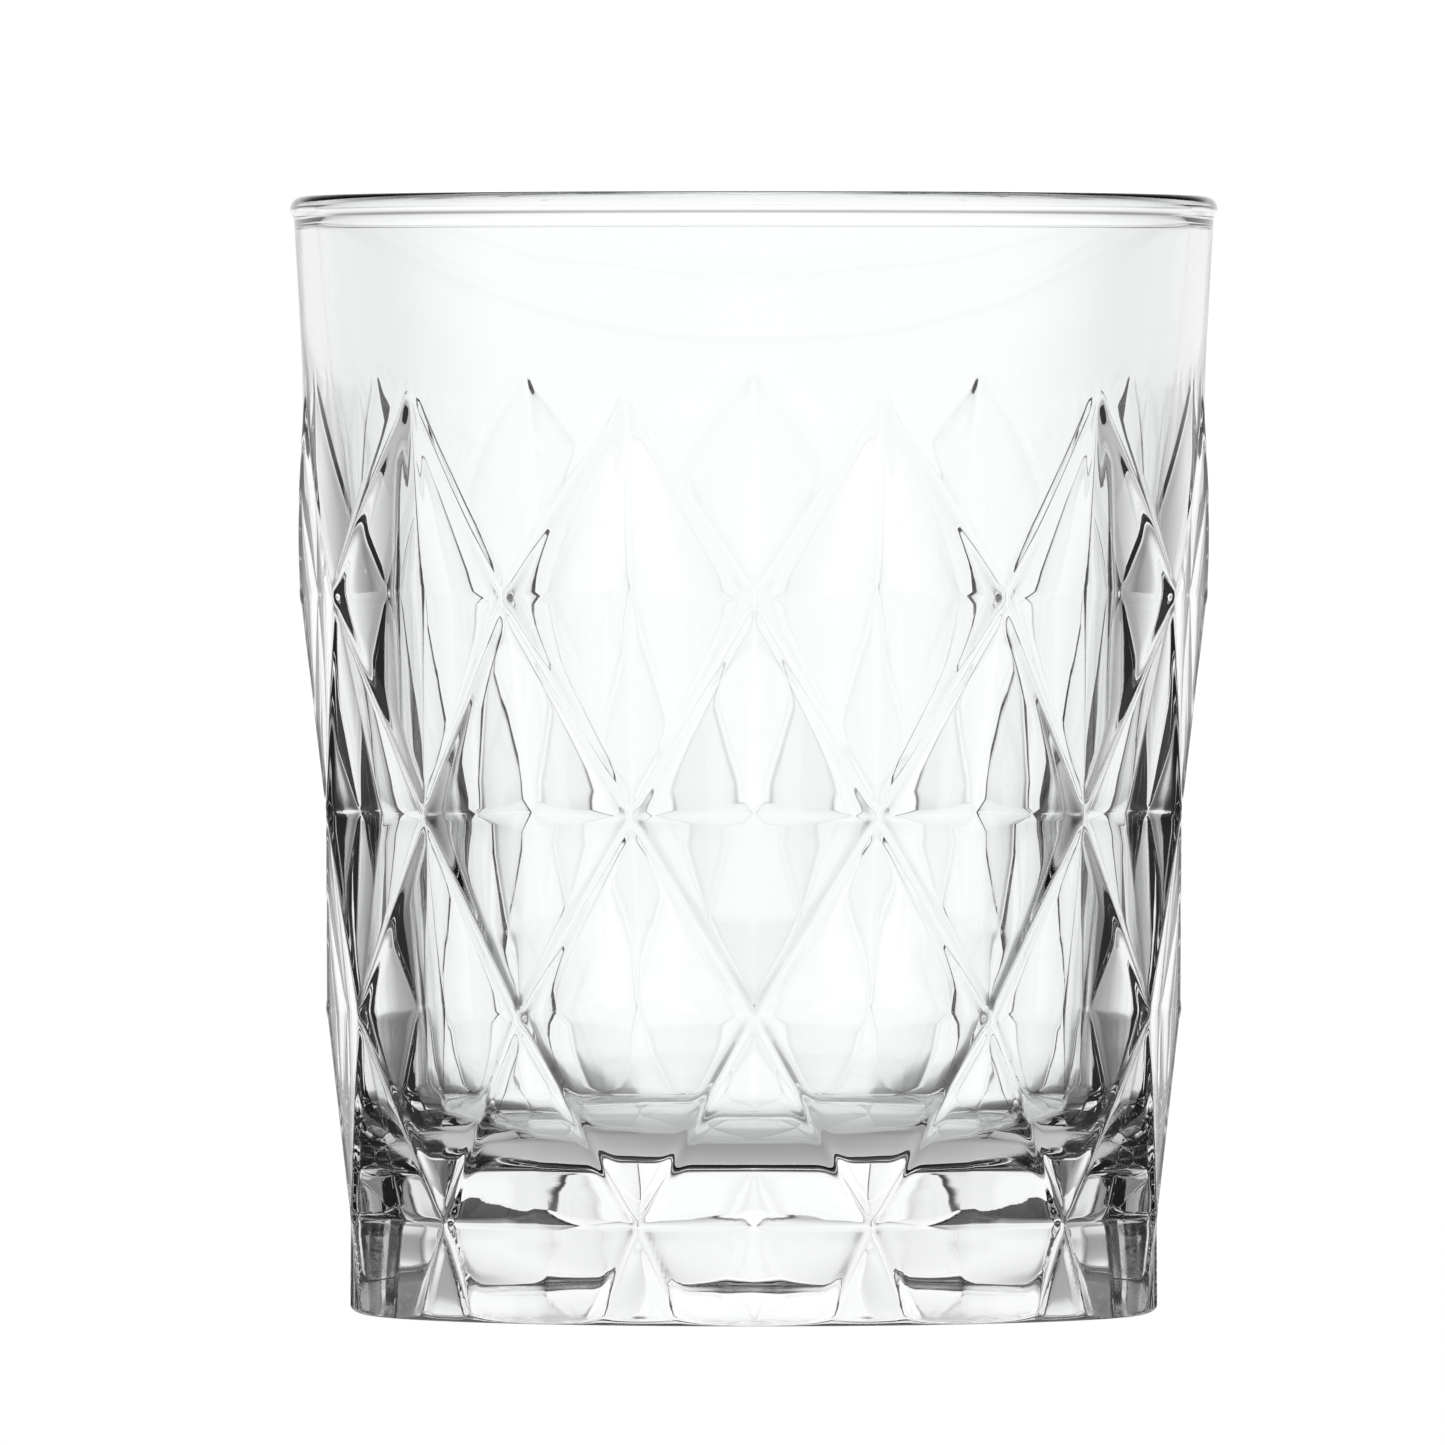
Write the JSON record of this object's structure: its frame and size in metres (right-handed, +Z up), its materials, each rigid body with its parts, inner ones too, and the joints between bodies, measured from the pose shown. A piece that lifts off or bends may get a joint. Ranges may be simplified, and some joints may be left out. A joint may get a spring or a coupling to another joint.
{
  "type": "whiskey tumbler",
  "caption": "Clear pressed-glass whiskey tumbler with a smooth upper band, recessed diamond facets below it, a faceted foot and a thick floor.",
  "frame": {"origin": "centre of the flat ring that the glass stands on, on the table plane", "axes": "+Z up along the axis of the glass, from foot to lip; -Y through one peak of the upper row of the pattern"},
  "size_m": [0.083, 0.083, 0.1],
  "materials": {
    "clear_glass": "clear, fire-polished"
  },
  "bodies": {
    "root": {"tumbler_glass": "clear_glass"}
  },
  "joints": []
}
